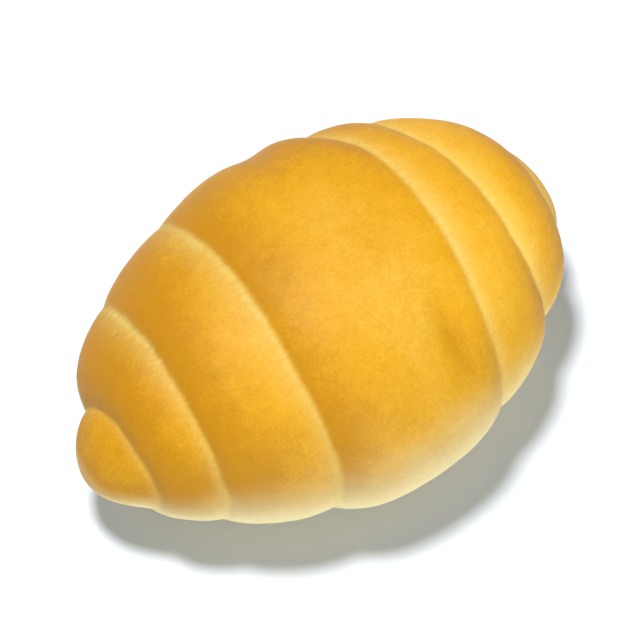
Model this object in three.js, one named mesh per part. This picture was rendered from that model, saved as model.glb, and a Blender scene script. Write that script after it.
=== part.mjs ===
// A wound bread roll: a tapering strip of dough rolled up on itself, baked as one piece.
//
// Frame: millimetres, +Z up, +X along the roll from its narrow end to its blunt end.
// The origin is at the middle of the footprint, on the surface that the roll rests on.
//
// The shape is one rule. A spindle is swept from pole to pole, and the two edges of the
// wound strip run round it as two spirals that start together at the strip's tail, under
// the roll, and end at the poles. The surface steps down wherever it crosses an edge.

import * as THREE from "three";

// Driving dimensions of the spindle.
const HALF_LENGTH = 51.8;
const HALF_WIDTH = 34.5;
const HEIGHT_RATIO = 0.77; // half height over half width of a cross-section at the belly
const END_HEIGHT_RATIO = 0.9; // the same at the two ends, which are rounder
const AXIS_HEIGHT = 22.6; // of the spindle's axis above the resting surface, at the belly
const NARROW_END_DROOP = 6.0; // how much lower the axis is at each end
const BLUNT_END_DROOP = 3.0;
const BELLY_STATION = 0.515; // where the axis is highest
const BLUNTNESS = 0.8; // of the outline near a pole: its half width there over the belly's

// How full the spindle is against a plain ellipsoid, by station: 0 is the narrow end's
// pole and 1 is the blunt end's.
const FULLNESS = [
  [0.0, 0.7],
  [0.1, 0.7],
  [0.2, 0.8],
  [0.3, 0.885],
  [0.42, 0.965],
  [0.52, 1.0],
  [0.64, 0.985],
  [0.74, 0.94],
  [0.84, 0.885],
  [1.0, 0.78],
];

// Sideways bend of the axis, in millimetres along Y, by station.
const BEND = [
  [0.0, -1.6],
  [0.12, -1.2],
  [0.3, -0.2],
  [0.5, 0.0],
  [0.78, 3.1],
  [1.0, 3.6],
];

// The strip's edges: the station of each edge by turns of winding, counted from the tail.
// A quarter turn takes an edge from the underside to the far side, then over the top.
const TAIL_ANGLE = -100; // where the tail's point lies round the roll, in degrees from +Y
const NARROW_EDGE = [
  [0.0, 0.525],
  [0.14, 0.45],
  [0.34, 0.398],
  [0.53, 0.409],
  [0.84, 0.407],
  [1.08, 0.35],
  [1.34, 0.282],
  [1.53, 0.277],
  [1.84, 0.275],
  [2.08, 0.225],
  [2.34, 0.145],
  [2.53, 0.165],
  [2.84, 0.18],
  [3.1, 0.11],
  [3.34, 0.05],
];
const BLUNT_EDGE = [
  [0.0, 0.535],
  [0.14, 0.575],
  [0.34, 0.593],
  [0.53, 0.645],
  [0.84, 0.632],
  [1.08, 0.655],
  [1.34, 0.676],
  [1.53, 0.733],
  [1.84, 0.76],
  [2.08, 0.8],
  [2.34, 0.842],
  [2.53, 0.885],
  [2.84, 0.9],
  [3.1, 0.93],
  [3.34, 0.955],
  [3.8, 0.98],
];
const TURNS = 4;

// The step at an edge, in millimetres. The wrap on top ends in a rounded lip, and the wrap
// below dips to meet it.
const CREASE_DEPTH = 1.25;
const CREASE_LIP_WIDTH = 3.0;
const CREASE_DIP_WIDTH = 3.2;
const LIP_HEIGHT = 0.9;
const LIP_PEAK = 8.5; // distance from the crease to the lip's highest line

// How deep each edge's step is against a full one, by turns. It grows from nothing at the
// tail, is faint where the wraps have grown together, and is lost in the end knob.
const NARROW_STEP = [
  [0.0, 0.0],
  [0.12, 0.7],
  [0.28, 0.3],
  [0.42, 0.75],
  [0.53, 1.0],
  [0.78, 0.95],
  [1.03, 0.6],
  [1.28, 0.45],
  [1.45, 0.85],
  [1.6, 0.9],
  [1.8, 0.7],
  [2.05, 0.5],
  [2.28, 1.4],
  [2.42, 1.2],
  [2.55, 0.9],
  [2.78, 0.7],
  [3.0, 0.3],
  [3.2, 0.0],
];
const BLUNT_STEP = [
  [0.0, 0.0],
  [0.14, 0.9],
  [0.3, 1.0],
  [0.45, 0.6],
  [0.6, 0.5],
  [0.75, 0.75],
  [1.03, 0.8],
  [1.28, 0.75],
  [1.5, 0.7],
  [1.78, 1.0],
  [2.1, 0.9],
  [2.5, 1.0],
  [3.0, 0.8],
  [3.5, 0.4],
  [3.9, 0.0],
];

// The foot: everything below the resting surface is pressed flat, with a rounded rim.
const FOOT_ROUNDING = 2.2;

// Mesh fineness.
const ROWS = 76;
const COLUMNS = 48;

const TAU = 2 * Math.PI;

/** A smooth curve through [at, value] points, with no overshoot between them. */
function smoothCurve(points) {
  const n = points.length;
  const slope = [];
  for (let i = 0; i < n - 1; i++) {
    slope.push((points[i + 1][1] - points[i][1]) / (points[i + 1][0] - points[i][0]));
  }
  const tangent = points.map((_, i) => {
    if (i === 0) return slope[0];
    if (i === n - 1) return slope[n - 2];
    const product = slope[i - 1] * slope[i];
    return product <= 0 ? 0 : (2 * product) / (slope[i - 1] + slope[i]);
  });
  return (at) => {
    if (at <= points[0][0]) return points[0][1];
    if (at >= points[n - 1][0]) return points[n - 1][1];
    let i = 0;
    while (at > points[i + 1][0]) i++;
    const span = points[i + 1][0] - points[i][0];
    const t = (at - points[i][0]) / span;
    const rise = points[i + 1][1] - points[i][1];
    const start = tangent[i] * span;
    const end = tangent[i + 1] * span;
    return points[i][1] + t * (start + t * (3 * rise - 2 * start - end + t * (start + end - 2 * rise)));
  };
}

const fullness = smoothCurve(FULLNESS);
const bend = smoothCurve(BEND);
const narrowEdge = smoothCurve(NARROW_EDGE);
const bluntEdge = smoothCurve(BLUNT_EDGE);
const narrowStep = smoothCurve(NARROW_STEP);
const bluntStep = smoothCurve(BLUNT_STEP);

/** The smooth spindle at a station and an angle round it, before the wraps. */
function spindle(station, angle) {
  const polar = Math.PI * station;
  const radius = HALF_WIDTH * Math.sin(polar) * fullness(station);
  const droop = station < BELLY_STATION ? NARROW_END_DROOP : BLUNT_END_DROOP;
  const reach = station < BELLY_STATION ? BELLY_STATION : 1 - BELLY_STATION;
  const away = Math.abs(station - BELLY_STATION) / reach;
  const ratio = THREE.MathUtils.lerp(HEIGHT_RATIO, END_HEIGHT_RATIO, away ** 2);
  return new THREE.Vector3(
    -HALF_LENGTH * Math.cos(polar),
    bend(station) + radius * Math.cos(angle),
    AXIS_HEIGHT - droop * away ** 2 + ratio * radius * Math.sin(angle),
  );
}

/** The spindle's outward normal, from its neighbours. */
function spindleNormal(station, angle) {
  const step = 1e-3;
  const at = THREE.MathUtils.clamp(station, 2 * step, 1 - 2 * step);
  const along = spindle(at + step, angle).sub(spindle(at - step, angle));
  const round = spindle(at, angle + step).sub(spindle(at, angle - step));
  return round.cross(along).normalize();
}

/** The height of the surface over the spindle at a signed distance from one edge. */
function stepProfile(distance) {
  if (distance < 0) return -CREASE_DEPTH * Math.exp(distance / CREASE_DIP_WIDTH);
  const lip = LIP_HEIGHT * (distance / LIP_PEAK) * Math.exp(1 - distance / LIP_PEAK);
  return lip - CREASE_DEPTH * Math.exp(-distance / CREASE_LIP_WIDTH);
}

/** Length along the roll's outline, in millimetres, of one whole station, at a station. */
function stationLength(station) {
  const polar = Math.PI * station;
  return Math.PI * Math.hypot(HALF_LENGTH * Math.sin(polar), BLUNTNESS * HALF_WIDTH * Math.cos(polar));
}

/** The height over the spindle that all the wraps together give. */
function wrapHeight(station, angle) {
  const tail = THREE.MathUtils.degToRad(TAIL_ANGLE);
  const firstTurn = THREE.MathUtils.euclideanModulo((angle - tail) / TAU, 1);
  const length = stationLength(station);
  let height = 0;
  for (let k = 0; k < TURNS; k++) {
    const turn = firstTurn + k;
    height += narrowStep(turn) * stepProfile((station - narrowEdge(turn)) * length);
    height += bluntStep(turn) * stepProfile((bluntEdge(turn) - station) * length);
  }
  return height;
}

/** A point below the resting surface goes onto it, with a rounded rim round the foot. */
function pressFlat(point) {
  const z = point.z;
  if (z < -FOOT_ROUNDING) point.z = 0;
  else if (z < FOOT_ROUNDING) point.z = (z + FOOT_ROUNDING) ** 2 / (4 * FOOT_ROUNDING);
  return point;
}

/** The finished surface at a station and an angle. */
function crustPoint(station, angle) {
  const normal = spindleNormal(station, angle);
  const point = spindle(station, angle).addScaledVector(normal, wrapHeight(station, angle));
  return pressFlat(point);
}

/** Moves the roll sideways so that the origin is at the middle of its footprint. */
function centred(geometry) {
  geometry.computeBoundingBox();
  const middle = geometry.boundingBox.getCenter(new THREE.Vector3());
  return geometry.translate(-middle.x, -middle.y, 0);
}

/** The closed mesh of the whole roll: a ring of points per station, and a point per pole. */
function rollGeometry() {
  const positions = [];
  for (let row = 1; row < ROWS; row++) {
    for (let column = 0; column < COLUMNS; column++) {
      positions.push(...crustPoint(row / ROWS, (TAU * column) / COLUMNS).toArray());
    }
  }
  const narrowPole = positions.length / 3;
  positions.push(...crustPoint(0, 0).toArray());
  const bluntPole = narrowPole + 1;
  positions.push(...crustPoint(1, 0).toArray());

  const at = (row, column) => (row - 1) * COLUMNS + (column % COLUMNS);
  const index = [];
  for (let column = 0; column < COLUMNS; column++) {
    index.push(narrowPole, at(1, column + 1), at(1, column));
    index.push(bluntPole, at(ROWS - 1, column), at(ROWS - 1, column + 1));
    for (let row = 1; row < ROWS - 1; row++) {
      const a = at(row, column);
      const b = at(row, column + 1);
      const c = at(row + 1, column + 1);
      const d = at(row + 1, column);
      index.push(a, b, c, a, c, d);
    }
  }
  const geometry = new THREE.BufferGeometry();
  geometry.setAttribute("position", new THREE.Float32BufferAttribute(positions, 3));
  geometry.setIndex(index);
  geometry.computeVertexNormals();
  return centred(geometry);
}

/** Egg-washed crust. */
function crustMaterial() {
  return new THREE.MeshStandardMaterial({ color: 0xe9a83a, roughness: 0.55, metalness: 0 });
}

const breadRoll = new THREE.Mesh(rollGeometry(), crustMaterial());
breadRoll.name = "bread_roll";

const part = new THREE.Group();
part.add(breadRoll);

export default part;
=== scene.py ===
"""A wound bread roll with an egg-washed crust, lying on a plain pale studio floor.

The roll is a tapering strip of dough rolled up on itself. Its form is one rule, built as a
Geometry Nodes tree: a spindle, and the two edges of the strip that run round it as spirals.
Lengths are in metres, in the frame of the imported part: +Z up, and +X along the roll from its
narrow end to its blunt end.
"""

import logging
import math
from dataclasses import dataclass
from enum import Enum
from typing import Any, Sequence

import bpy
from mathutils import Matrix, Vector


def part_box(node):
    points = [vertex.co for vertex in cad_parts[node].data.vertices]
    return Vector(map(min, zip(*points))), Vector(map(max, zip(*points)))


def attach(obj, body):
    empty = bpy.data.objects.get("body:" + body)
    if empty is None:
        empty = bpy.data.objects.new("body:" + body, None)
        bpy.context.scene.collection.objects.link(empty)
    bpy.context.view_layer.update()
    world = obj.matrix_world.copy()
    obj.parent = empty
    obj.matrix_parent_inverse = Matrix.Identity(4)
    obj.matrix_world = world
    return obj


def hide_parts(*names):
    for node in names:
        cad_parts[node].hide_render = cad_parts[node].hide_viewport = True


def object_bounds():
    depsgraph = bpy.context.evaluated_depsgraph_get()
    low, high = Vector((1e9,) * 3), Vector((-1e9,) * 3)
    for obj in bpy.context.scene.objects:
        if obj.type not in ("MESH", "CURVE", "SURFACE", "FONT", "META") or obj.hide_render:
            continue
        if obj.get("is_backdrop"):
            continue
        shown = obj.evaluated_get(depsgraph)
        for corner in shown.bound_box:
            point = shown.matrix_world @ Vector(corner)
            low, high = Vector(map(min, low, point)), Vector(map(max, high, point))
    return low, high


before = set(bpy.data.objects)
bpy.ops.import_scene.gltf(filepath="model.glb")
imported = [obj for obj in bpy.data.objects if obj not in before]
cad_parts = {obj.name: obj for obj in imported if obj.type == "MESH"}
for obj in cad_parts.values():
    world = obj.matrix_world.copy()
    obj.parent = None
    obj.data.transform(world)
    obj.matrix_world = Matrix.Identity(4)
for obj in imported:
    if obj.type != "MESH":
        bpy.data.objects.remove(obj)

LOG = logging.getLogger("bread_roll")
MM = 0.001
TAU = 2 * math.pi
CAD_NODE = "bread_roll"
BODY = "root"

# Of the roll's outline near a pole: its half width there over the half width at the belly.
BLUNTNESS = 0.8
# Points of the mesh that lie nearer than this are one point, as at the poles.
WELD = 0.002 * MM
# Painted shade in a dent: how much browner the crust is painted there, for each millimetre of its depth.
HOLLOW_PAINTED_SHADE = 0.5
# How much the torn fibres in a seam are drawn out across it.
FIBRE_STRETCH = 0.25
# Noise this far either way from its middle tints the crust as much as it can.
TINT_REACH = 0.6

Points = tuple[tuple[float, float], ...]
Colour = tuple[float, float, float]

# Light from the sky side: a little bluer than white.
COOL: Colour = (0.82, 0.95, 1.22)


class Socket(Enum):
    """The kinds of socket that the node trees here have."""

    FLOAT = "NodeSocketFloat"
    INTEGER = "NodeSocketInt"
    VECTOR = "NodeSocketVector"
    GEOMETRY = "NodeSocketGeometry"
    MATERIAL = "NodeSocketMaterial"


class TreeKind(Enum):
    """The kinds of node tree that a group can be."""

    GEOMETRY = "GeometryNodeTree"
    SHADER = "ShaderNodeTree"


class Mask(Enum):
    """The values that the roll's mesh keeps for its finish, one on each point."""

    LATITUDE = "latitude"
    SEAM = "seam_dough"
    LIP = "lip"
    FOOT = "foot"
    FIBRE = "fibre"


class Field:
    """The output of a node. Plain arithmetic on it adds Math nodes to its tree."""

    def __init__(self, nodes: "Nodes", socket: bpy.types.NodeSocket) -> None:
        """Wraps one output socket."""
        self.nodes = nodes
        self.socket = socket

    def __add__(self, other: "Field | float") -> "Field":
        """Adds."""
        return self.nodes.math("ADD", self, other)

    def __radd__(self, other: float) -> "Field":
        """Adds to a number."""
        return self.nodes.math("ADD", other, self)

    def __sub__(self, other: "Field | float") -> "Field":
        """Subtracts."""
        return self.nodes.math("SUBTRACT", self, other)

    def __rsub__(self, other: float) -> "Field":
        """Subtracts from a number."""
        return self.nodes.math("SUBTRACT", other, self)

    def __mul__(self, other: "Field | float") -> "Field":
        """Multiplies."""
        return self.nodes.math("MULTIPLY", self, other)

    def __rmul__(self, other: float) -> "Field":
        """Multiplies a number."""
        return self.nodes.math("MULTIPLY", other, self)

    def __truediv__(self, other: "Field | float") -> "Field":
        """Divides."""
        return self.nodes.math("DIVIDE", self, other)

    def __pow__(self, other: float) -> "Field":
        """Raises to a power."""
        return self.nodes.math("POWER", self, other)

    def __neg__(self) -> "Field":
        """Turns the sign."""
        return self.nodes.math("MULTIPLY", self, -1.0)


Value = Field | float | int | Sequence[float]


class Nodes:
    """Adds nodes to one tree and links them."""

    # How the nodes lie in the editor: so many to a column, and this far from one to the next.
    ROWS = 12
    STEP = (190, -170)
    # How strong each finer layer of noise is against the one before it.
    NOISE_ROUGHNESS = 0.5

    def __init__(self, tree: bpy.types.NodeTree) -> None:
        """Starts on a tree that is empty or partly built."""
        self.tree = tree

    def feed(self, socket: bpy.types.NodeSocket, value: Any) -> None:
        """Links a field to an input socket, or sets the socket to a plain value.

        Args:
            socket: the input.
            value: what it gets.
        """
        if isinstance(value, Field):
            self.tree.links.new(value.socket, socket)
        else:
            socket.default_value = value

    def add(
        self, kind: str, inputs: dict[str | int, Any] | None = None, **settings: Any
    ) -> bpy.types.Node:
        """Adds a node.

        Args:
            kind: the node's type name.
            inputs: fields or plain values by the name or number of the input.
            settings: the node's own properties.

        Returns:
            The node.
        """
        count = len(self.tree.nodes)
        node = self.tree.nodes.new(kind)
        node.location = (self.STEP[0] * (count // self.ROWS), self.STEP[1] * (count % self.ROWS))
        for name, value in settings.items():
            setattr(node, name, value)
        for name, value in (inputs or {}).items():
            self.feed(node.inputs[name], value)
        return node

    def out(self, node: bpy.types.Node, output: str | int = 0) -> Field:
        """The named or numbered output of a node, as a field."""
        return Field(self, node.outputs[output])

    def math(self, operation: str, *values: "Field | float") -> Field:
        """A Math node."""
        return self.out(self.add("ShaderNodeMath", dict(enumerate(values)), operation=operation))

    def vector(self, operation: str, *values: Value) -> Field:
        """A Vector Math node."""
        return self.out(self.add("ShaderNodeVectorMath", dict(enumerate(values)), operation=operation))

    def scaled(self, vector: Field, factor: "Field | float") -> Field:
        """A vector times a number."""
        node = self.add("ShaderNodeVectorMath", {0: vector, "Scale": factor}, operation="SCALE")
        return self.out(node)

    def combine(self, x: "Field | float", y: "Field | float", z: "Field | float") -> Field:
        """A vector from its three parts."""
        return self.out(self.add("ShaderNodeCombineXYZ", {0: x, 1: y, 2: z}))

    def separate(self, vector: Field) -> tuple[Field, Field, Field]:
        """The three parts of a vector."""
        node = self.add("ShaderNodeSeparateXYZ", {0: vector})
        return self.out(node, 0), self.out(node, 1), self.out(node, 2)

    def rise(self, value: Field, start: "Field | float", end: "Field | float") -> Field:
        """A smooth rise from 0, where value is start, to 1, where it is end."""
        inputs = {"Value": value, "From Min": start, "From Max": end}
        return self.out(self.add("ShaderNodeMapRange", inputs, interpolation_type="SMOOTHSTEP"))

    def bell(self, value: Field, width: "Field | float") -> Field:
        """A bell curve that is 1 where value is 0."""
        return self.math("EXPONENT", -((value / width) ** 2.0))

    def curve(self, value: Field, points: Points) -> Field:
        """A smooth curve through given points.

        Args:
            value: where the curve is read.
            points: (at, height) pairs, with at rising.

        Returns:
            The curve's height.
        """
        first, last = points[0][0], points[-1][0]
        low = min(height for _, height in points)
        reach = max(height for _, height in points) - low
        node = self.add("ShaderNodeFloatCurve", {"Value": (value - first) / (last - first)})
        curve = node.mapping.curves[0]
        places = [((at - first) / (last - first), (height - low) / reach) for at, height in points]
        curve.points[0].location = places[0]
        curve.points[-1].location = places[-1]
        for place in places[1:-1]:
            curve.points.new(*place)
        for point in curve.points:
            point.handle_type = "AUTO_CLAMPED"
        node.mapping.update()
        return self.out(node) * reach + low

    def noise(self, vector: Field, size: float, seed: "Field | float", detail: float = 2.0) -> Field:
        """Smooth noise between about -1 and 1.

        Args:
            vector: where it is read.
            size: the width of its features, in the vector's units.
            seed: which noise of all.
            detail: how many finer layers it has.

        Returns:
            The noise.
        """
        inputs = {"Vector": vector, "W": seed, "Scale": 1.0 / size, "Detail": detail}
        inputs["Roughness"] = self.NOISE_ROUGHNESS
        node = self.add("ShaderNodeTexNoise", inputs, noise_dimensions="4D")
        return self.out(node) * 2.0 - 1.0

    def mix(self, share: Field, first: Value, second: Value) -> Field:
        """A mix of two colours.

        Args:
            share: 0 for the first and 1 for the second.
            first: one colour.
            second: the other.

        Returns:
            The colour between them.
        """
        node = self.add("ShaderNodeMix", data_type="RGBA")
        self.feed(node.inputs[0], share)
        for socket, value in ((node.inputs[6], first), (node.inputs[7], second)):
            self.feed(socket, value if isinstance(value, Field) else (*value, 1.0))
        return self.out(node, 2)


@dataclass(frozen=True)
class Port:
    """A named input or output of a node group.

    Attributes:
        name: as its socket shows it.
        kind: of the socket.
        default: what an input holds until it is fed.
    """

    name: str
    kind: Socket
    default: float | int | None = None


class Group:
    """A node group with named inputs and outputs."""

    def __init__(
        self, name: str, kind: TreeKind, inputs: Sequence[Port], outputs: Sequence[Port]
    ) -> None:
        """Makes the group's tree and its ports.

        Args:
            name: the tree's name.
            kind: a shader or a geometry tree.
            inputs: the ports that it reads.
            outputs: the ports that it gives.
        """
        self.kind = kind
        self.tree = bpy.data.node_groups.new(name, kind.value)
        for side, ports in (("INPUT", inputs), ("OUTPUT", outputs)):
            for port in ports:
                made = {"in_out": side, "socket_type": port.kind.value}
                socket = self.tree.interface.new_socket(port.name, **made)
                if port.default is not None:
                    socket.default_value = port.default
        self.nodes = Nodes(self.tree)
        self._start = self.nodes.add("NodeGroupInput")
        self._end = self.nodes.add("NodeGroupOutput")

    def read(self, name: str) -> Field:
        """The value of a named input."""
        return self.nodes.out(self._start, name)

    def give(self, name: str, value: Field) -> None:
        """Sets a named output."""
        self.nodes.feed(self._end.inputs[name], value)

    def place(self, nodes: Nodes, inputs: dict[str, Any]) -> bpy.types.Node:
        """Places the group in another tree of its own kind.

        Args:
            nodes: the tree that it goes in.
            inputs: fields or plain values by input name.

        Returns:
            The group's node there.
        """
        node = nodes.add("GeometryNodeGroup" if self.kind is TreeKind.GEOMETRY else "ShaderNodeGroup")
        node.node_tree = self.tree
        for name, value in inputs.items():
            nodes.feed(node.inputs[name], value)
        return node


@dataclass(frozen=True)
class StripEdge:
    """One long edge of the wound strip.

    Attributes:
        towards: -1 for the edge on the narrow end's side, 1 for the blunt end's.
        stations: its station by turns of winding, counted from the strip's tail.
        depths: how deep its crease is against a full one, by turns.
        bands: how wide and pale the dough below it is against a full band, by turns.
    """

    towards: int
    stations: Points
    depths: Points
    bands: Points


@dataclass(frozen=True)
class Dent:
    """A soft hollow that the crust kept from handling.

    Attributes:
        station: where it is along the roll.
        angle: where it is round the roll, in degrees from +Y over the top.
        width: how far it reaches along the roll.
        reach: how far it reaches round the roll.
        depth: how deep it is.
    """

    station: float
    angle: float
    width: float
    reach: float
    depth: float


@dataclass(frozen=True)
class Crease:
    """The step where one wrap ends on the next.

    Attributes:
        depth: of the groove.
        lip_width: over which the upper wrap rounds down into it.
        dip_width: over which the lower wrap sinks towards it.
        lip_height: of the swelling behind the upper wrap's edge.
        lip_peak: from the groove to the top of that swelling.
        lip_darkening: width of the darker band along the upper wrap's edge: browner crust, with painted
            shade where it rounds down into the groove.
        lip_darkening_start: from the groove to where that band has all its strength.
        seam_overlap: how far the pale dough below reaches onto the upper wrap.
        tear: width of the line along which the dough tore as it rose.
        tear_below: from the groove to that line.
    """

    depth: float = 1.25 * MM
    lip_width: float = 3.0 * MM
    dip_width: float = 3.2 * MM
    lip_height: float = 0.9 * MM
    lip_peak: float = 8.5 * MM
    lip_darkening: float = 11.0 * MM
    lip_darkening_start: float = 1.2 * MM
    seam_overlap: float = 0.7 * MM
    tear: float = 0.75 * MM
    tear_below: float = 0.35 * MM

    def group(self) -> Group:
        """The node group that turns a distance from an edge into a height and masks.

        Returns:
            The group.
        """
        sizes = {
            "Depth": self.depth,
            "Lip Width": self.lip_width,
            "Dip Width": self.dip_width,
            "Lip Height": self.lip_height,
            "Lip Peak": self.lip_peak,
            "Lip Darkening": self.lip_darkening,
            "Lip Darkening Start": self.lip_darkening_start,
            "Seam Overlap": self.seam_overlap,
            "Tear Width": self.tear,
            "Tear Below": self.tear_below,
        }
        inputs = [Port("Inward", Socket.FLOAT), Port("Band", Socket.FLOAT)]
        inputs += [Port(name, Socket.FLOAT, size) for name, size in sizes.items()]
        outputs = [Port(name, Socket.FLOAT) for name in ("Height", "Seam", "Tear", "Lip", "Groove")]
        group = Group("Crease", TreeKind.GEOMETRY, inputs, outputs)
        t = group.nodes
        above = t.math("MAXIMUM", group.read("Inward"), 0.0)
        below = t.math("MAXIMUM", -group.read("Inward"), 0.0)
        groove = t.math("EXPONENT", -(above / group.read("Lip Width"))) * t.math(
            "EXPONENT", -(below / group.read("Dip Width"))
        )
        share = above / group.read("Lip Peak")
        swelling = share * t.math("EXPONENT", 1.0 - share)
        seam = t.bell(below, group.read("Band")) * t.bell(above, group.read("Seam Overlap"))
        # Darker band on the upper wrap's edge: browner crust, and painted shade where it rounds down
        # into the groove.
        lip = t.bell(above, group.read("Lip Darkening")) * t.rise(above, 0.0, group.read("Lip Darkening Start"))
        tear = t.bell(group.read("Inward") + group.read("Tear Below"), group.read("Tear Width"))
        group.give("Height", swelling * group.read("Lip Height") - groove * group.read("Depth"))
        group.give("Seam", seam)
        group.give("Tear", tear)
        group.give("Lip", lip)
        group.give("Groove", groove)
        return group


@dataclass(frozen=True)
class Slope:
    """A smooth change with place, or with another value.

    Attributes:
        start: where it begins.
        end: where it is complete.
        amount: the whole change.
    """

    start: float
    end: float
    amount: float = 1.0

    def over(self, t: Nodes, value: Field) -> Field:
        """How much of the change has come about at a value.

        Args:
            t: the tree.
            value: what it changes with.

        Returns:
            From 0 to the whole amount.
        """
        return t.rise(value, self.start, self.end) * self.amount


@dataclass(frozen=True)
class Grain:
    """One layer of fine unevenness in the crust.

    Attributes:
        size: width of its features, in millimetres.
        height: of its relief, in metres.
        seed: which noise of all.
        bake: how much browner or paler it makes the crust.
        shade: how much darker or lighter it makes the crust.
    """

    size: float
    height: float
    seed: float
    bake: float = 0.0
    shade: float = 0.0


@dataclass(frozen=True)
class Drift:
    """Broad, soft change in the crust's colour.

    Attributes:
        size: width of its features, in millimetres.
        detail: how many finer layers it has.
        bake: how much browner or paler it makes the crust.
        lift: how far it moves the line down to which the crust is golden.
        dough: how much paler or darker it makes the dough in the seams.
    """

    size: float
    detail: float
    bake: float
    lift: float
    dough: float


@dataclass(frozen=True)
class CrustFinish:
    """Egg-washed crust: golden on top, cream where the dough was covered or shaded from the heat.

    Places along and across the roll are in millimetres. Bake is 0 for pale and 1 for brown.

    Attributes:
        golden: the usual colour.
        deep: where it is baked most, and where painted shade darkens it.
        light: where it is baked least, and where painted light brightens it.
        dough: in the seams, where the wrap above covered it.
        cream: low on the sides.
        sole: on the flat underside.
        roughness: of the washed crust.
        bare: how much rougher the seams and the low sides are, which got no wash.
        specular: of the washed crust.
        depth: how far light goes into the crust, by colour.
        glow: how much of the light does.
        seed: which noise of all.
        half_length: of the roll.
        base_bake: in the middle of the top.
        lip_shade_and_bake: added along the raised edge of a wrap.
        narrow_painted_shade: change in the bake towards the narrow end.
        blunt_light_and_bakes: changes in it towards the blunt end.
        painted_shade_across: changes in it towards the far side.
        ring: a line of the crust that the heat reached best, its width, and its bake.
        low_side: where the golden crust turns to cream, by height round the roll.
        end_lift: how much further down the golden crust goes at the two ends.
        narrow_drop: how much less far down it goes towards the narrow end.
        blunt_lift: how much further down it goes towards the blunt end.
        blunt_painted_light: how much brighter the crust is towards the blunt end.
        to_golden: bake at which light crust turns golden.
        to_deep: bake at which it turns deep.
        seam_dough: how much of the dough shows in a full seam.
        cloud: the broadest changes in colour.
        patch: smaller changes in colour.
        speckle: the finest grain.
        pores: the coarser grain.
        torn: the torn dough in the seams, drawn out across them.
        torn_streak: how much that dough changes from fibre to fibre.
        sole_cover: how much of the underside is browned.
        sole_patches: how much that changes from patch to patch.
    """

    golden: Colour = (0.75, 0.355, 0.006)
    deep: Colour = (0.58, 0.245, 0.001)
    light: Colour = (0.84, 0.465, 0.05)
    dough: Colour = (0.75, 0.55, 0.15)
    cream: Colour = (0.90, 0.72, 0.33)
    sole: Colour = (0.62, 0.31, 0.06)
    roughness: float = 0.58
    bare: tuple[float, float] = (0.2, 0.15)
    specular: float = 0.25
    depth: Colour = (3.0 * MM, 1.2 * MM, 0.3 * MM)
    glow: float = 0.08
    seed: float = 3.0
    half_length: float = 52.0
    base_bake: float = 0.2
    lip_shade_and_bake: float = 0.65
    narrow_painted_shade: Slope = Slope(0.0, 48.0, 0.42)
    blunt_light_and_bakes: tuple[Slope, ...] = (Slope(0.0, 34.0, -0.22), Slope(30.0, 46.0, 0.3))
    painted_shade_across: tuple[Slope, ...] = (Slope(-14.0, 32.0, 0.36), Slope(20.0, 35.0, 0.1))
    ring: tuple[float, float, float] = (0.55, 0.22, 0.25)
    low_side: Slope = Slope(-0.32, 0.5)
    end_lift: float = 0.28
    narrow_drop: Slope = Slope(0.0, 30.0, -0.08)
    blunt_lift: Slope = Slope(12.0, 44.0, 0.2)
    blunt_painted_light: Slope = Slope(8.0, 40.0, 0.17)
    to_golden: Slope = Slope(-0.1, 0.55)
    to_deep: Slope = Slope(0.4, 1.1)
    seam_dough: float = 0.8
    cloud: Drift = Drift(size=24.0, detail=2.0, bake=0.22, lift=0.16, dough=0.3)
    patch: Drift = Drift(size=7.0, detail=3.0, bake=0.24, lift=0.08, dough=0.5)
    speckle: Grain = Grain(size=0.6, height=0.03 * MM, seed=5.0, bake=0.16, shade=0.07)
    pores: Grain = Grain(size=2.6, height=0.07 * MM, seed=8.0, bake=0.13, shade=0.03)
    torn: Grain = Grain(size=0.8, height=0.12 * MM, seed=2.0)
    torn_streak: float = 0.75
    sole_cover: float = 0.85
    sole_patches: float = 0.45

    def grain_group(self) -> Group:
        """The node group for fine unevenness: a height, and a mask for tinting it.

        Returns:
            The group.
        """
        inputs = [
            Port("Place", Socket.VECTOR),
            Port("Size", Socket.FLOAT, 1.0),
            Port("Height", Socket.FLOAT),
            Port("Seed", Socket.FLOAT),
        ]
        outputs = [Port("Relief", Socket.FLOAT), Port("Mask", Socket.FLOAT)]
        group = Group("Crust Grain", TreeKind.SHADER, inputs, outputs)
        t = group.nodes
        near = t.scaled(group.read("Place"), t.math("DIVIDE", 1.0, group.read("Size")))
        speck = t.noise(near, 1.0, group.read("Seed"))
        group.give("Relief", speck * group.read("Height"))
        group.give("Mask", t.rise(speck, -TINT_REACH, TINT_REACH) - 0.5)
        return group

    def bake(self, t: Nodes, place: Field, lip: Field, height: Field) -> Field:
        """How brown the crust is, with painted shade and light in it, before the noise in it.

        Args:
            t: the tree.
            place: the point on the roll, in millimetres.
            lip: how near it is to the raised edge of a wrap, and how deep it lies in a dent.
            height: how high it is round the roll.

        Returns:
            The bake.
        """
        x, y, _ = t.separate(place)
        # Painted shade: the bake rises towards the narrow end.
        bake = self.base_bake + self.narrow_painted_shade.over(t, -x)
        # Painted light: the bake falls towards the blunt end, then rises again at its far end.
        for along in self.blunt_light_and_bakes:
            bake = bake + along.over(t, x)
        # Painted shade: the bake rises towards the far side.
        for across in self.painted_shade_across:
            bake = bake + across.over(t, y)
        at, width, amount = self.ring
        # The lip mask adds browner crust with painted shade along a wrap's raised edge, and painted
        # shade in dents.
        return bake + t.bell(height - at, width) * amount + lip * self.lip_shade_and_bake

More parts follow.
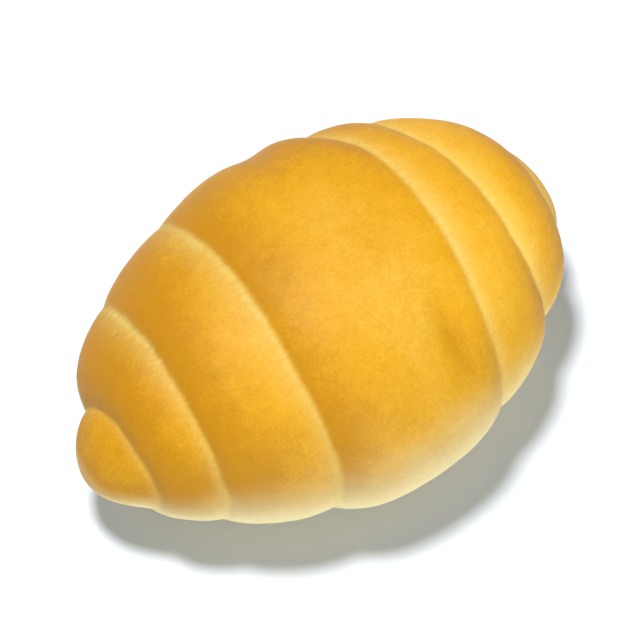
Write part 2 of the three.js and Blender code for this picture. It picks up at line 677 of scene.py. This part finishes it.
    def build(self) -> bpy.types.Material:
        """Makes the material.

        Returns:
            The crust's material.
        """
        material = bpy.data.materials.new("crust")
        material.use_nodes = True
        material.node_tree.nodes.clear()
        t = Nodes(material.node_tree)
        mapping = t.add("ShaderNodeMapping", {"Vector": t.out(t.add("ShaderNodeTexCoord"), "Object")})
        mapping.inputs["Scale"].default_value = (1 / MM, 1 / MM, 1 / MM)
        place = t.out(mapping)
        masks = {mask: t.add("ShaderNodeAttribute", attribute_name=mask.value) for mask in Mask}
        latitude, seam, lip, foot = (
            t.out(masks[mask], "Fac") for mask in (Mask.LATITUDE, Mask.SEAM, Mask.LIP, Mask.FOOT)
        )
        fibre = t.scaled(t.out(masks[Mask.FIBRE], "Vector"), 1 / MM)

        cloud = t.noise(place, self.cloud.size, self.seed, self.cloud.detail)
        patch = t.noise(place, self.patch.size, self.seed + 1, self.patch.detail)
        grain = self.grain_group()
        layers = ((self.speckle, place), (self.pores, place), (self.torn, fibre))
        speckle, pores, torn = (
            grain.place(t, {"Place": where, "Size": kind.size, "Height": kind.height, "Seed": kind.seed})
            for kind, where in layers
        )
        fleck, mottle, streak = (t.out(node, "Mask") for node in (speckle, pores, torn))

        x, _, _ = t.separate(place)
        height = latitude + ((x / self.half_length) ** 2.0) * self.end_lift
        height = height + cloud * self.cloud.lift + patch * self.patch.lift
        golden_down = self.narrow_drop.over(t, -x) + self.blunt_lift.over(t, x)
        side = 1.0 - self.low_side.over(t, height + golden_down)
        bake = self.bake(t, place, lip, height) + cloud * self.cloud.bake + patch * self.patch.bake
        bake = bake + fleck * self.speckle.bake + mottle * self.pores.bake
        colour = t.mix(self.to_golden.over(t, bake), self.light, self.golden)
        colour = t.mix(self.to_deep.over(t, bake), colour, self.deep)
        colour = t.mix(side, colour, self.cream)
        dough = self.seam_dough + cloud * self.cloud.dough + patch * self.patch.dough
        dough = seam * dough * (1.0 + streak * self.torn_streak)
        colour = t.mix(dough, colour, self.dough)
        browned = foot * (self.sole_cover + patch * self.sole_patches)
        colour = t.mix(browned, colour, self.sole)
        shade = 1.0 - fleck * self.speckle.shade - mottle * self.pores.shade
        # Painted light: the crust is made brighter towards the blunt end.
        colour = t.scaled(colour, shade + self.blunt_painted_light.over(t, x))

        relief = t.out(speckle, "Relief") + t.out(pores, "Relief") + t.out(torn, "Relief") * seam
        bump = t.add("ShaderNodeBump", {"Height": relief, "Distance": 1.0, "Strength": 1.0})
        bare_seam, bare_side = self.bare
        shader = t.add(
            "ShaderNodeBsdfPrincipled",
            {
                "Base Color": colour,
                "Roughness": self.roughness + dough * bare_seam + side * bare_side,
                "Normal": t.out(bump),
                "Specular IOR Level": self.specular,
                "Subsurface Weight": self.glow,
                "Subsurface Radius": self.depth,
                "Subsurface Scale": 1.0,
            },
        )
        t.add("ShaderNodeOutputMaterial", {"Surface": t.out(shader)})
        return material


@dataclass(frozen=True)
class FloorFinish:
    """Plain white studio board.

    Attributes:
        colour: of the board.
        roughness: of its matt face.
    """

    colour: Colour = (0.86, 0.89, 0.93)
    roughness: float = 0.9

    def build(self) -> bpy.types.Material:
        """Makes the material.

        Returns:
            The floor's material.
        """
        material = bpy.data.materials.new("studio_floor")
        material.use_nodes = True
        shader = material.node_tree.nodes["Principled BSDF"]
        shader.inputs["Base Color"].default_value = (*self.colour, 1.0)
        shader.inputs["Roughness"].default_value = self.roughness
        shader.inputs["Specular IOR Level"].default_value = 0.0
        return material


@dataclass
class WoundRoll:
    """The roll: a spindle with the strip's edges wound round it.

    A station is a place along the roll: 0 is the narrow end's pole and 1 the blunt end's.

    Attributes:
        rows: of faces from pole to pole.
        columns: of faces round the roll.
        half_length: from the middle to a pole.
        half_width: of the widest cross-section.
        belly_ratio: half height over half width there.
        end_ratio: the same at the two ends, which are rounder.
        axis_height: of the spindle's axis above the resting surface, at the belly.
        narrow_droop: how much lower the axis is at the narrow end.
        blunt_droop: how much lower it is at the blunt end.
        belly_station: where the axis is highest.
        foot_rounding: how far above the flat underside its rim starts.
        foot_reach: how high the browned foot goes, over the rim's rounding.
        pole_fade: girth, over the belly's, below which an end counts less and less as top or side.
        tail_angle: where the tail's point lies round the roll.
        turns: of each edge, the last ones lost in the end knobs.
        band: width of the pale dough below a full seam.
        band_share: of that pale dough in how pale a seam is.
        tear_share: of the torn line in how pale a seam is.
        wobble: how far an edge strays from its smooth line.
        wobble_size: width of one such stray.
        fray: how far the edge strays in small nicks.
        fray_size: width of one such nick.
        unevenness: of the crust, as a height.
        swell_size: width of its broad swells.
        ripple_size: width of its small ripples.
        ripple_share: their height over the swells' height.
        groove_lift: how far a full groove stays off the resting surface.
        sole_lift: of the small hollows in the underside.
        sole_size: width of one such hollow.
        seed: which noise of all.
        fullness: of the spindle against a plain ellipsoid, by station.
        bend: of the axis along Y, by station.
        edges: the two long edges of the strip.
        dents: soft hollows from handling.
        crease: the step where an edge lies.
    """

    rows: int = 336
    columns: int = 292
    half_length: float = 51.8 * MM
    half_width: float = 34.5 * MM
    belly_ratio: float = 0.77
    end_ratio: float = 0.9
    axis_height: float = 22.6 * MM
    narrow_droop: float = 6.0 * MM
    blunt_droop: float = 3.0 * MM
    belly_station: float = 0.515
    foot_rounding: float = 2.2 * MM
    foot_reach: float = 1.2
    pole_fade: float = 0.5
    tail_angle: float = math.radians(-100)
    turns: int = 5
    band: float = 4.2 * MM
    band_share: float = 0.55
    tear_share: float = 0.37
    wobble: float = 0.9 * MM
    wobble_size: float = 16.0 * MM
    fray: float = 0.4 * MM
    fray_size: float = 4.0 * MM
    unevenness: float = 0.5 * MM
    swell_size: float = 22.0 * MM
    ripple_size: float = 6.0 * MM
    ripple_share: float = 0.25
    groove_lift: float = 0.45 * MM
    sole_lift: float = 0.08 * MM
    sole_size: float = 9.0 * MM
    seed: float = 11.0
    fullness: Points = (
        (0.0, 0.7), (0.1, 0.7), (0.2, 0.8), (0.3, 0.885), (0.42, 0.965),
        (0.52, 1.0), (0.64, 0.985), (0.74, 0.94), (0.84, 0.885), (1.0, 0.78),
    )
    bend: Points = (
        (0.0, -1.6 * MM), (0.12, -1.2 * MM), (0.3, -0.2 * MM),
        (0.5, 0.0), (0.78, 3.1 * MM), (1.0, 3.6 * MM),
    )
    edges: tuple[StripEdge, ...] = (
        StripEdge(
            towards=-1,
            stations=(
                (0.0, 0.525), (0.14, 0.45), (0.34, 0.398), (0.53, 0.409), (0.84, 0.407),
                (1.08, 0.35), (1.34, 0.282), (1.53, 0.277), (1.84, 0.275), (2.08, 0.225),
                (2.34, 0.145), (2.53, 0.165), (2.84, 0.18), (3.1, 0.11), (3.34, 0.05),
                (3.8, 0.02), (5.0, 0.0),
            ),
            depths=(
                (0.0, 0.0), (0.12, 0.7), (0.28, 0.3), (0.42, 0.75), (0.53, 1.0), (0.78, 0.95),
                (1.03, 0.6), (1.28, 0.45), (1.45, 0.85), (1.6, 0.9), (1.8, 0.7), (2.05, 0.5),
                (2.28, 1.4), (2.42, 1.2), (2.55, 0.9), (2.78, 0.7), (3.0, 0.3), (3.2, 0.0), (5.0, 0.0),
            ),
            bands=(
                (0.0, 0.3), (0.28, 0.45), (0.42, 0.9), (0.56, 0.75), (0.7, 0.55), (0.85, 0.5),
                (1.03, 0.5), (1.28, 0.5), (1.42, 0.85), (1.55, 0.55), (1.8, 0.4), (2.1, 0.3),
                (2.5, 0.3), (3.0, 0.2), (5.0, 0.0),
            ),
        ),
        StripEdge(
            towards=1,
            stations=(
                (0.0, 0.535), (0.14, 0.575), (0.34, 0.593), (0.53, 0.645), (0.84, 0.632),
                (1.08, 0.655), (1.34, 0.676), (1.53, 0.733), (1.84, 0.76), (2.08, 0.8),
                (2.34, 0.842), (2.53, 0.885), (2.84, 0.9), (3.1, 0.93), (3.34, 0.955),
                (3.8, 0.98), (5.0, 1.0),
            ),
            depths=(
                (0.0, 0.0), (0.14, 0.9), (0.3, 1.0), (0.45, 0.6), (0.6, 0.5), (0.75, 0.75),
                (1.03, 0.8), (1.28, 0.75), (1.5, 0.7), (1.78, 1.0), (2.1, 0.9), (2.5, 1.0),
                (3.0, 0.8), (3.5, 0.4), (3.9, 0.0), (5.0, 0.0),
            ),
            bands=(
                (0.0, 0.3), (0.28, 0.5), (0.45, 0.75), (0.6, 0.6), (0.72, 0.45), (0.85, 0.4), (1.2, 0.5),
                (1.5, 0.65), (1.8, 0.5), (2.2, 0.45), (2.32, 0.8), (2.55, 0.9), (3.0, 0.4), (3.9, 0.0),
                (5.0, 0.0),
            ),
        ),
    )
    dents: tuple[Dent, ...] = (
        Dent(station=0.59, angle=133, width=3.0 * MM, reach=7.5 * MM, depth=1.1 * MM),
        Dent(station=0.45, angle=84, width=5.0 * MM, reach=8.0 * MM, depth=0.45 * MM),
        Dent(station=0.36, angle=140, width=5.0 * MM, reach=6.0 * MM, depth=0.35 * MM),
        Dent(station=0.525, angle=26, width=4.0 * MM, reach=9.0 * MM, depth=1.0 * MM),
    )
    crease: Crease = Crease()

    @property
    def mean_radius(self) -> float:
        """Of the widest cross-section."""
        return self.half_width * (1.0 + self.belly_ratio) / 2.0

    def spindle(self, t: Nodes, station: Field, angle: Field) -> Field:
        """The smooth spindle before the wraps.

        Args:
            t: the tree.
            station: along the roll.
            angle: round the roll, in radians from +Y over the top.

        Returns:
            The point on its surface.
        """
        polar = station * math.pi
        radius = self.half_width * t.math("SINE", polar) * t.curve(station, self.fullness)
        narrow = t.math("MAXIMUM", (self.belly_station - station) / self.belly_station, 0.0) ** 2.0
        blunt = t.math("MAXIMUM", (station - self.belly_station) / (1 - self.belly_station), 0.0) ** 2.0
        ratio = self.belly_ratio + (self.end_ratio - self.belly_ratio) * (narrow + blunt)
        axis = self.axis_height - self.narrow_droop * narrow - self.blunt_droop * blunt
        return t.combine(
            -self.half_length * t.math("COSINE", polar),
            t.curve(station, self.bend) + radius * t.math("COSINE", angle),
            axis + ratio * radius * t.math("SINE", angle),
        )

    def wraps(self, t: Nodes, station: Field, angle: Field, wander: Field) -> dict[str, Field]:
        """The steps where the strip's edges pass, all turns together.

        Args:
            t: the tree.
            station: along the roll.
            angle: round the roll.
            wander: how far an edge strays from its line here.

        Returns:
            The height over the spindle, and the masks of the seams.
        """
        crease = self.crease.group()
        polar = station * math.pi
        length = math.pi * t.math(
            "SQRT",
            (self.half_length * t.math("SINE", polar)) ** 2.0
            + (BLUNTNESS * self.half_width * t.math("COSINE", polar)) ** 2.0,
        )
        first_turn = t.math("FRACT", (angle - self.tail_angle) / TAU)
        total: dict[str, Field] = {}
        for turn_index in range(self.turns):
            turn = first_turn + float(turn_index)
            for edge in self.edges:
                place = t.curve(turn, edge.stations)
                strength = t.curve(turn, edge.depths)
                pale = t.curve(turn, edge.bands)
                inward = (place - station) * length * float(edge.towards) + wander
                node = crease.place(t, {"Inward": inward, "Band": pale * self.band})
                parts = {name: t.out(node, name) * strength for name in ("Height", "Lip", "Groove")}
                parts["Seam"] = t.out(node, "Seam") * pale
                parts["Tear"] = t.out(node, "Tear") * pale
                parts["Across"] = inward * parts["Seam"]
                for name, part in parts.items():
                    total[name] = total[name] + part if name in total else part
        return total

    def hollows(self, t: Nodes, station: Field, angle: Field) -> Field:
        """The depth of all the dents together.

        Args:
            t: the tree.
            station: along the roll.
            angle: round the roll.

        Returns:
            How far the crust is pushed in.
        """
        total: Field | None = None
        for dent in self.dents:
            turned = t.math("WRAP", angle - math.radians(dent.angle), math.pi, -math.pi)
            away = ((station - dent.station) * (math.pi * self.half_length / dent.width)) ** 2.0
            away = away + (turned * (self.mean_radius / dent.reach)) ** 2.0
            hollow = t.math("EXPONENT", -away) * dent.depth
            total = total + hollow if total else hollow
        return total

    def relief(self, t: Nodes, place: Field, seed: Field) -> Field:
        """The crust's soft unevenness, as a height.

        Args:
            t: the tree.
            place: the point on the spindle.
            seed: which noise of all.

        Returns:
            The height over the spindle.
        """
        swells = t.noise(place, self.swell_size, seed, detail=1.0)
        ripples = t.noise(place, self.ripple_size, seed + 1.0)
        return (swells + ripples * self.ripple_share) * self.unevenness

    def tree(self) -> bpy.types.NodeTree:
        """The Geometry Nodes tree that makes the whole roll.

        Returns:
            The tree, with named inputs for its sizes.
        """
        inputs = [
            Port("Rows", Socket.INTEGER, self.rows),
            Port("Columns", Socket.INTEGER, self.columns),
            Port("Wobble", Socket.FLOAT, self.wobble),
            Port("Foot Rounding", Socket.FLOAT, self.foot_rounding),
            Port("Seed", Socket.FLOAT, self.seed),
            Port("Lowest Corner", Socket.VECTOR),
            Port("Highest Corner", Socket.VECTOR),
            Port("Crust", Socket.MATERIAL),
        ]
        group = Group("Wound Roll", TreeKind.GEOMETRY, inputs, [Port("Roll", Socket.GEOMETRY)])
        t = group.nodes
        sizes = {"Size X": 1.0, "Size Y": 1.0}
        sizes["Vertices X"] = group.read("Rows") + 1
        sizes["Vertices Y"] = group.read("Columns") + 1
        grid = t.add("GeometryNodeMeshGrid", sizes)
        station, turned, _ = t.separate(t.out(grid, "UV Map"))
        angle = (1.0 - turned) * TAU
        place = self.spindle(t, station, angle)
        seed = group.read("Seed")
        wander = t.noise(place, self.wobble_size, seed + 2.0) * group.read("Wobble")
        wander = wander + t.noise(place, self.fray_size, seed + 3.0) * self.fray
        wraps = self.wraps(t, station, angle, wander)
        hollows = self.hollows(t, station, angle)
        height = wraps["Height"] + self.relief(t, place, seed) - hollows
        _, side, up = t.separate(place)
        off_pole = t.rise(t.math("SINE", station * math.pi), 0.0, self.pole_fade)
        # Dents feed the lip mask too, as painted shade in the hollows.
        lip = wraps["Lip"] + hollows * (HOLLOW_PAINTED_SHADE / MM)
        seam = wraps["Seam"] * self.band_share + wraps["Tear"] * self.tear_share
        kept = {
            "wrap_height": height,
            "groove": wraps["Groove"],
            Mask.LATITUDE.value: t.math("SINE", angle) * off_pole,
            Mask.SEAM.value: t.math("MINIMUM", seam, 1.0),
            Mask.LIP.value: t.math("MINIMUM", lip, 1.0),
            Mask.FIBRE.value: t.combine(wraps["Across"] * FIBRE_STRETCH, side, up),
        }
        mesh = t.out(grid, "Mesh")
        for name, value in kept.items():
            kind = "FLOAT_VECTOR" if name == Mask.FIBRE.value else "FLOAT"
            mesh = self.store(t, mesh, name, value, kind)
        mesh = t.out(t.add("GeometryNodeSetPosition", {"Geometry": mesh, "Position": place}))
        mesh = t.out(t.add("GeometryNodeMergeByDistance", {"Geometry": mesh, "Distance": WELD}))
        normal = t.out(t.add("GeometryNodeInputNormal"))
        offset = t.scaled(normal, self.recall(t, "wrap_height"))
        mesh = t.out(t.add("GeometryNodeSetPosition", {"Geometry": mesh, "Offset": offset}))
        mesh = self.press_flat(t, mesh, group.read("Foot Rounding"), seed)
        mesh = self.fit(t, mesh, group.read("Lowest Corner"), group.read("Highest Corner"))
        mesh = t.out(t.add("GeometryNodeSetShadeSmooth", {"Geometry": mesh}))
        mesh = t.out(t.add("GeometryNodeRealizeInstances", {"Geometry": mesh}))
        dressed = {"Geometry": mesh, "Material": group.read("Crust")}
        group.give("Roll", t.out(t.add("GeometryNodeSetMaterial", dressed)))
        return group.tree

    @staticmethod
    def store(t: Nodes, mesh: Field, name: str, value: Field, kind: str = "FLOAT") -> Field:
        """Keeps a value on every point under a name."""
        inputs = {"Geometry": mesh, "Name": name, "Value": value}
        return t.out(t.add("GeometryNodeStoreNamedAttribute", inputs, data_type=kind, domain="POINT"))

    @staticmethod
    def recall(t: Nodes, name: str) -> Field:
        """Reads a value that was kept under a name."""
        return t.out(t.add("GeometryNodeInputNamedAttribute", {"Name": name}, data_type="FLOAT"))

    def press_flat(self, t: Nodes, mesh: Field, rounding: Field, seed: Field) -> Field:
        """Presses the underside flat, with a rounded rim, and keeps where that is.

        Args:
            t: the tree.
            mesh: the roll so far.
            rounding: how far above the flat the rim starts.
            seed: which noise of all.

        Returns:
            The pressed mesh.
        """
        position = t.out(t.add("GeometryNodeInputPosition"))
        x, y, z = t.separate(position)
        foot = 1.0 - t.rise(z, -rounding, rounding * self.foot_reach)
        mesh = self.store(t, mesh, Mask.FOOT.value, foot)
        in_rim = t.math("MINIMUM", t.math("MAXIMUM", z + rounding, 0.0), rounding * 2.0)
        pressed = in_rim ** 2.0 / (rounding * 4.0) + t.math("MAXIMUM", z - rounding, 0.0)
        hollows = t.noise(position, self.sole_size, seed + 4.0, detail=3.0) + 1.0
        lift = self.recall(t, "groove") * self.groove_lift + hollows * self.sole_lift
        target = t.combine(x, y, pressed + lift * self.recall(t, Mask.FOOT.value))
        return t.out(t.add("GeometryNodeSetPosition", {"Geometry": mesh, "Position": target}))

    @staticmethod
    def fit(t: Nodes, mesh: Field, lowest: Field, highest: Field) -> Field:
        """Moves and stretches the mesh a little so that its box is the part's own box.

        Args:
            t: the tree.
            mesh: the roll so far.
            lowest: the box's lowest corner.
            highest: its highest corner.

        Returns:
            The fitted mesh.
        """
        box = t.add("GeometryNodeBoundBox", {"Geometry": mesh})
        low, high = t.out(box, "Min"), t.out(box, "Max")
        wanted = t.vector("SUBTRACT", highest, lowest)
        stretch = t.vector("DIVIDE", wanted, t.vector("SUBTRACT", high, low))
        position = t.out(t.add("GeometryNodeInputPosition"))
        moved = t.vector("MULTIPLY", t.vector("SUBTRACT", position, low), stretch)
        target = t.vector("ADD", moved, lowest)
        return t.out(t.add("GeometryNodeSetPosition", {"Geometry": mesh, "Position": target}))

    def build(self, finish: CrustFinish) -> bpy.types.Object:
        """Builds the roll's mesh and dresses it.

        Args:
            finish: the crust's finish.

        Returns:
            The finished piece, in the part's frame.
        """
        lowest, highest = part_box(CAD_NODE)
        maker = bpy.data.objects.new("maker", bpy.data.meshes.new("maker"))
        bpy.context.scene.collection.objects.link(maker)
        modifier = maker.modifiers.new("wound_roll", "NODES")
        modifier.node_group = self.tree()
        values = {
            "Rows": self.rows,
            "Columns": self.columns,
            "Wobble": self.wobble,
            "Foot Rounding": self.foot_rounding,
            "Seed": self.seed,
            "Lowest Corner": tuple(lowest),
            "Highest Corner": tuple(highest),
            "Crust": finish.build(),
        }
        for item in modifier.node_group.interface.items_tree:
            if item.in_out == "INPUT":
                modifier[item.identifier] = values[item.name]
        evaluated = maker.evaluated_get(bpy.context.evaluated_depsgraph_get())
        mesh = bpy.data.meshes.new_from_object(evaluated)
        bpy.data.objects.remove(maker)
        roll = bpy.data.objects.new("wound_bread_roll", mesh)
        bpy.context.scene.collection.objects.link(roll)
        return roll


@dataclass(frozen=True)
class SoftLight:
    """A round soft light aimed at the roll.

    Attributes:
        name: the light's name.
        azimuth: 0 is on the +Y side, and a quarter turn is on the +X side.
        elevation: above the floor.
        distance: from the middle of the floor.
        size: its width.
        power: in watts.
        colour: of its light.
    """

    name: str
    azimuth: float
    elevation: float
    distance: float
    size: float
    power: float
    colour: Colour = (0.97, 0.99, 1.02)

    def build(self) -> bpy.types.Object:
        """Makes the light.

        Returns:
            The light, in its place.
        """
        lamp = bpy.data.lights.new(self.name, "AREA")
        lamp.shape = "DISK"
        lamp.size = self.size
        lamp.energy = self.power
        lamp.color = self.colour
        light = bpy.data.objects.new(self.name, lamp)
        across = math.cos(self.elevation) * self.distance
        light.location = (
            math.sin(self.azimuth) * across,
            math.cos(self.azimuth) * across,
            math.sin(self.elevation) * self.distance,
        )
        light.rotation_euler = (-light.location).to_track_quat("-Z", "Y").to_euler()
        bpy.context.scene.collection.objects.link(light)
        return light


KEY_LIGHT = SoftLight(
    name="key",
    azimuth=math.radians(-33),
    elevation=math.radians(80.5),
    distance=1.5,
    size=0.3,
    power=23.3,
)
NEAR_LIGHT = SoftLight(
    name="near",
    azimuth=math.radians(182),
    elevation=math.radians(9),
    distance=1.6,
    size=0.9,
    power=14.5,
    colour=COOL,
)


@dataclass
class Studio:
    """Plain pale floor, a soft key light overhead, a weak near light, and cool light all round.

    Attributes:
        lights: the lights aimed at the roll.
        floor_radius: of the round floor.
        floor_sides: of its outline.
        fill_strength: of the light from all round.
        backdrop: tone of what shows past the floor.
    """

    lights: tuple[SoftLight, ...] = (KEY_LIGHT, NEAR_LIGHT)
    floor_radius: float = 4.0
    floor_sides: int = 96
    fill_strength: float = 0.17
    backdrop: float = 0.93

    def floor(self, finish: FloorFinish) -> bpy.types.Object:
        """Makes the floor, which the roll rests on.

        Args:
            finish: the floor's finish.

        Returns:
            The floor.
        """
        outline = {"vertices": self.floor_sides, "radius": self.floor_radius}
        bpy.ops.mesh.primitive_circle_add(fill_type="NGON", **outline)
        floor = bpy.context.object
        floor.name = "studio_floor"
        floor.data.materials.append(finish.build())
        floor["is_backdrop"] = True
        return floor

    def fill(self) -> None:
        """Cool light from all round, with a pale backdrop behind the floor."""
        world = bpy.data.worlds.new("studio")
        bpy.context.scene.world = world
        world.use_nodes = True
        world.node_tree.nodes.clear()
        t = Nodes(world.node_tree)
        seen = t.out(t.add("ShaderNodeLightPath"), "Is Camera Ray")
        fill = tuple(self.fill_strength * part for part in COOL)
        light = t.add("ShaderNodeBackground", {"Color": t.mix(seen, fill, (self.backdrop,) * 3)})
        t.add("ShaderNodeOutputWorld", {"Surface": t.out(light)})

    def build(self) -> None:
        """Sets up the floor, the lights and the way that tones are shown."""
        self.floor(FloorFinish())
        for light in self.lights:
            light.build()
        self.fill()
        bpy.context.scene.view_settings.view_transform = "Standard"


@dataclass
class ViewCamera:
    """A long lens that looks down on the roll from the near left.

    Attributes:
        azimuth: 0 looks along +Y.
        elevation: above the horizon.
        distance: from the middle of the roll.
        margin: width of the view over the roll's own diagonal.
        sensor: width of the camera's sensor, in millimetres.
    """

    azimuth: float = math.radians(-31.5)
    elevation: float = math.radians(62)
    distance: float = 1.1
    margin: float = 0.87
    sensor: float = 36.0

    def build(self, lowest: Vector, highest: Vector) -> bpy.types.Object:
        """Makes the camera and sets it as the scene's own.

        Args:
            lowest: lowest corner of what it looks at.
            highest: highest corner.

        Returns:
            The camera.
        """
        back = Vector((
            math.sin(self.azimuth) * math.cos(self.elevation),
            -math.cos(self.azimuth) * math.cos(self.elevation),
            math.sin(self.elevation),
        ))
        lens = bpy.data.cameras.new("camera")
        lens.sensor_width = self.sensor
        lens.lens = self.sensor * self.distance / ((highest - lowest).length * self.margin)
        camera = bpy.data.objects.new("camera", lens)
        camera.location = (lowest + highest) / 2 + back * self.distance
        camera.rotation_euler = (-back).to_track_quat("-Z", "Y").to_euler()
        bpy.context.scene.collection.objects.link(camera)
        bpy.context.scene.camera = camera
        return camera


def main() -> None:
    """Builds the roll, the studio and the camera."""
    logging.basicConfig(level=logging.INFO, format="%(name)s: %(message)s")
    cad_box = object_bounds()
    roll = WoundRoll().build(CrustFinish())
    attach(roll, BODY)
    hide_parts(CAD_NODE)
    counts = (len(roll.data.vertices), len(roll.data.polygons))
    LOG.info("%s has %d points and %d faces", roll.name, *counts)
    Studio().build()
    LOG.info("the studio is lit")
    ViewCamera().build(*cad_box)
    LOG.info("the camera is placed")


if __name__ == "__main__":
    main()
